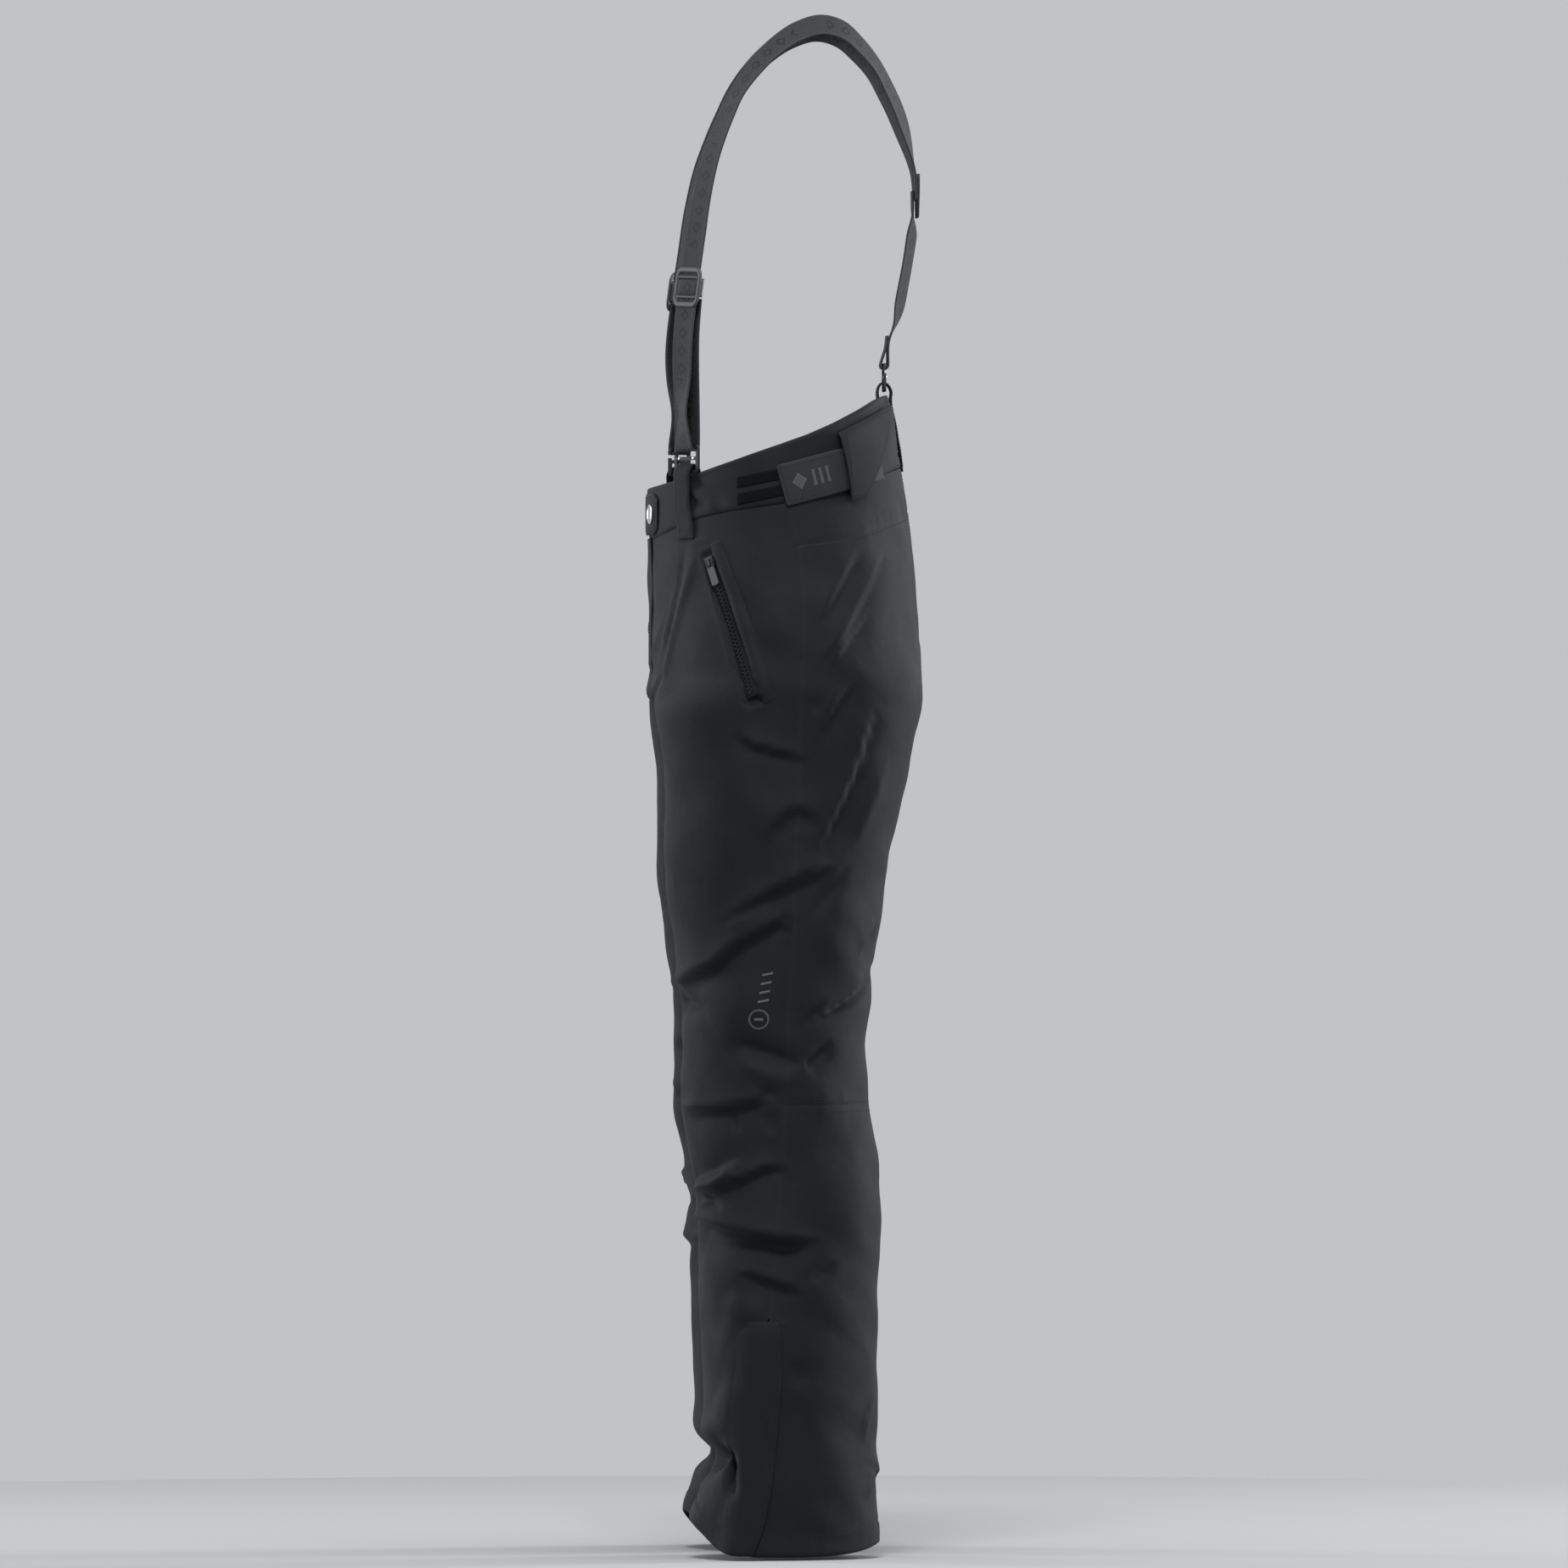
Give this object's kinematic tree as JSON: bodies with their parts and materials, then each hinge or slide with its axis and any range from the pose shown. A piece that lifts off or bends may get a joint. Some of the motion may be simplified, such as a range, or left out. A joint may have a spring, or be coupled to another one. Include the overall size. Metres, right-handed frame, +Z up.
{
  "type": "ski pants",
  "caption": "Insulated ski pants with removable shoulder braces, sloped waistband, side waist adjusters, zipped hand pockets and zipped ankle flaps.",
  "frame": {"origin": "centre of the waist opening, at the height of the side of the waistband", "axes": "+Z up along the wearer, the wearer faces -Y, the wearer's left is +X"},
  "size_m": [0.4006, 0.2669, 1.4799],
  "materials": {
    "shell_fabric": "matte coated weave",
    "lining_fabric": "smooth taffeta",
    "gaiter_fabric": "smooth ripstop",
    "webbing": "woven elastic",
    "hook_tape": "hook and loop",
    "soft_rubber": "matte",
    "zip_teeth": "satin",
    "zip_metal": "black enamel",
    "pull_plastic": "matte",
    "buckle_plastic": "satin",
    "snap_metal": "satin"
  },
  "bodies": {
    "pants": {"back_belt_loop": "webbing", "back_strap": "webbing", "back_yoke": "shell_fabric", "fly_zip_chain": "zip_teeth", "left_adjuster_loop": "shell_fabric", "left_adjuster_pads": "hook_tape", "left_ankle_zip_chain": "zip_teeth", "left_back_thigh_panel": "shell_fabric", "left_calf_panel": "shell_fabric", "left_front_belt_loop": "webbing", "left_front_thigh_panel": "shell_fabric", "left_lining": "lining_fabric", "left_pocket_bag": "lining_fabric", "left_pocket_welt": "shell_fabric", "left_pocket_zip_chain": "zip_teeth", "left_shin_panel": "shell_fabric", "left_shoulder_strap": "webbing", "left_snow_gaiter": "gaiter_fabric", "right_adjuster_loop": "shell_fabric", "right_adjuster_pads": "hook_tape", "right_ankle_zip_chain": "zip_teeth", "right_back_thigh_panel": "shell_fabric", "right_calf_panel": "shell_fabric", "right_front_belt_loop": "webbing", "right_front_thigh_panel": "shell_fabric", "right_lining": "lining_fabric", "right_pocket_bag": "lining_fabric", "right_pocket_welt": "shell_fabric", "right_pocket_zip_chain": "zip_teeth", "right_shin_panel": "shell_fabric", "right_shoulder_strap": "webbing", "right_snow_gaiter": "gaiter_fabric", "snap_stud": "snap_metal", "strap_junction": "buckle_plastic", "waistband": "shell_fabric"},
    "waist_closure": {"waistband_tab": "shell_fabric", "snap_cap": "snap_metal"},
    "fly_flap": {"fly_flap": "shell_fabric"},
    "fly_zip_slider": {"fly_zip_slider": "zip_metal"},
    "fly_zip_pull": {"fly_zip_pull": "pull_plastic"},
    "left_pocket_zip_slider": {"left_pocket_zip_slider": "zip_metal"},
    "left_pocket_zip_pull": {"left_pocket_zip_pull": "pull_plastic"},
    "left_ankle_flap": {"left_ankle_flap": "shell_fabric"},
    "left_ankle_zip_slider": {"left_ankle_zip_slider": "zip_metal"},
    "left_ankle_zip_pull": {"left_ankle_zip_pull": "pull_plastic"},
    "left_adjuster_strap": {"left_adjuster_strap": "webbing"},
    "left_adjuster_flap": {"left_adjuster_flap": "soft_rubber"},
    "left_strap_adjuster": {"left_strap_adjuster": "buckle_plastic"},
    "left_front_hook": {"left_front_hook": "buckle_plastic"},
    "right_pocket_zip_slider": {"right_pocket_zip_slider": "zip_metal"},
    "right_pocket_zip_pull": {"right_pocket_zip_pull": "pull_plastic"},
    "right_ankle_flap": {"right_ankle_flap": "shell_fabric"},
    "right_ankle_zip_slider": {"right_ankle_zip_slider": "zip_metal"},
    "right_ankle_zip_pull": {"right_ankle_zip_pull": "pull_plastic"},
    "right_adjuster_strap": {"right_adjuster_strap": "webbing"},
    "right_adjuster_flap": {"right_adjuster_flap": "soft_rubber"},
    "right_strap_adjuster": {"right_strap_adjuster": "buckle_plastic"},
    "right_front_hook": {"right_front_hook": "buckle_plastic"},
    "back_hook": {"back_hook": "buckle_plastic"}
  },
  "joints": [
    {"name": "waist_closure_swing", "type": "hinge", "parent": "pants", "child": "waist_closure", "pos_m": [-0.00818, -0.13065, -0.067], "axis": [0, 0, -1], "range_deg": [0, 100]},
    {"name": "fly_flap_swing", "type": "hinge", "parent": "pants", "child": "fly_flap", "pos_m": [-0.024, -0.12726, -0.158], "axis": [0, 0, -1], "range_deg": [0, 110]},
    {"name": "fly_zip_slide", "type": "slide", "parent": "pants", "child": "fly_zip_slider", "axis": [0, 0.0065, -1], "range_m": [0, 0.068]},
    {"name": "fly_zip_pull_swing", "type": "hinge", "parent": "fly_zip_slider", "child": "fly_zip_pull", "pos_m": [0, -0.1238, -0.10699], "axis": [-1, 0, 0], "range_deg": [0, 6]},
    {"name": "left_pocket_zip_slide", "type": "slide", "parent": "pants", "child": "left_pocket_zip_slider", "axis": [0.3393, 0.2672, -0.9019], "range_m": [0, 0.1337]},
    {"name": "left_pocket_zip_pull_swing", "type": "hinge", "parent": "left_pocket_zip_slider", "child": "left_pocket_zip_pull", "pos_m": [0.14242, -0.07504, -0.11454], "axis": [-0.4253, -0.8116, -0.4005], "range_deg": [0, 160]},
    {"name": "left_ankle_flap_swing", "type": "hinge", "parent": "pants", "child": "left_ankle_flap", "pos_m": [0.19561, -0.04421, -0.94516], "axis": [0.0311, -0.107, -0.9938], "range_deg": [0, 100]},
    {"name": "left_ankle_zip_slide", "type": "slide", "parent": "pants", "child": "left_ankle_zip_slider", "axis": [-0.0311, 0.107, 0.9938], "range_m": [0, 0.1653]},
    {"name": "left_ankle_zip_pull_swing", "type": "hinge", "parent": "left_ankle_zip_slider", "child": "left_ankle_zip_pull", "pos_m": [0.19386, -0.03944, -1.02221], "axis": [0, -0.9943, 0.1071], "range_deg": [0, 6]},
    {"name": "left_adjuster_pull", "type": "hinge", "parent": "pants", "child": "left_adjuster_strap", "pos_m": [0.05413, -0.00792, -0.03284], "axis": [0, 0.2588, -0.9659], "range_deg": [0, 7]},
    {"name": "left_adjuster_flap_peel", "type": "hinge", "parent": "left_adjuster_strap", "child": "left_adjuster_flap", "pos_m": [0.15443, 0.04726, -0.01806], "axis": [0, -0.2588, 0.9659], "range_deg": [0, 100]},
    {"name": "left_strap_adjuster_slide", "type": "slide", "parent": "pants", "child": "left_strap_adjuster", "axis": [-0.0352, 0.1278, 0.9912], "range_m": [-0.03, 0.03]},
    {"name": "left_front_hook_swing", "type": "hinge", "parent": "pants", "child": "left_front_hook", "pos_m": [0.09753, -0.09418, -0.00291], "axis": [-0.838, -0.5457, 0], "range_deg": [-5, 5]},
    {"name": "right_pocket_zip_slide", "type": "slide", "parent": "pants", "child": "right_pocket_zip_slider", "axis": [-0.3393, 0.2672, -0.9019], "range_m": [0, 0.1337]},
    {"name": "right_pocket_zip_pull_swing", "type": "hinge", "parent": "right_pocket_zip_slider", "child": "right_pocket_zip_pull", "pos_m": [-0.14242, -0.07504, -0.11454], "axis": [-0.4253, 0.8116, 0.4005], "range_deg": [0, 160]},
    {"name": "right_ankle_flap_swing", "type": "hinge", "parent": "pants", "child": "right_ankle_flap", "pos_m": [-0.19561, -0.04421, -0.94516], "axis": [0.0311, 0.107, 0.9938], "range_deg": [0, 100]},
    {"name": "right_ankle_zip_slide", "type": "slide", "parent": "pants", "child": "right_ankle_zip_slider", "axis": [0.0311, 0.107, 0.9938], "range_m": [0, 0.1653]},
    {"name": "right_ankle_zip_pull_swing", "type": "hinge", "parent": "right_ankle_zip_slider", "child": "right_ankle_zip_pull", "pos_m": [-0.19386, -0.03944, -1.02221], "axis": [0, 0.9943, -0.1071], "range_deg": [0, 6]},
    {"name": "right_adjuster_pull", "type": "hinge", "parent": "pants", "child": "right_adjuster_strap", "pos_m": [-0.05413, -0.00792, -0.03284], "axis": [0, -0.2588, 0.9659], "range_deg": [0, 7]},
    {"name": "right_adjuster_flap_peel", "type": "hinge", "parent": "right_adjuster_strap", "child": "right_adjuster_flap", "pos_m": [-0.15443, 0.04726, -0.01806], "axis": [0, 0.2588, -0.9659], "range_deg": [0, 100]},
    {"name": "right_strap_adjuster_slide", "type": "slide", "parent": "pants", "child": "right_strap_adjuster", "axis": [0.0352, 0.1278, 0.9912], "range_m": [-0.03, 0.03]},
    {"name": "right_front_hook_swing", "type": "hinge", "parent": "pants", "child": "right_front_hook", "pos_m": [-0.09753, -0.09418, -0.00291], "axis": [-0.838, 0.5457, 0], "range_deg": [-5, 5]},
    {"name": "back_hook_swing", "type": "hinge", "parent": "pants", "child": "back_hook", "pos_m": [0, 0.10005, 0.07759], "axis": [1, 0, 0], "range_deg": [-5, 5]}
  ]
}
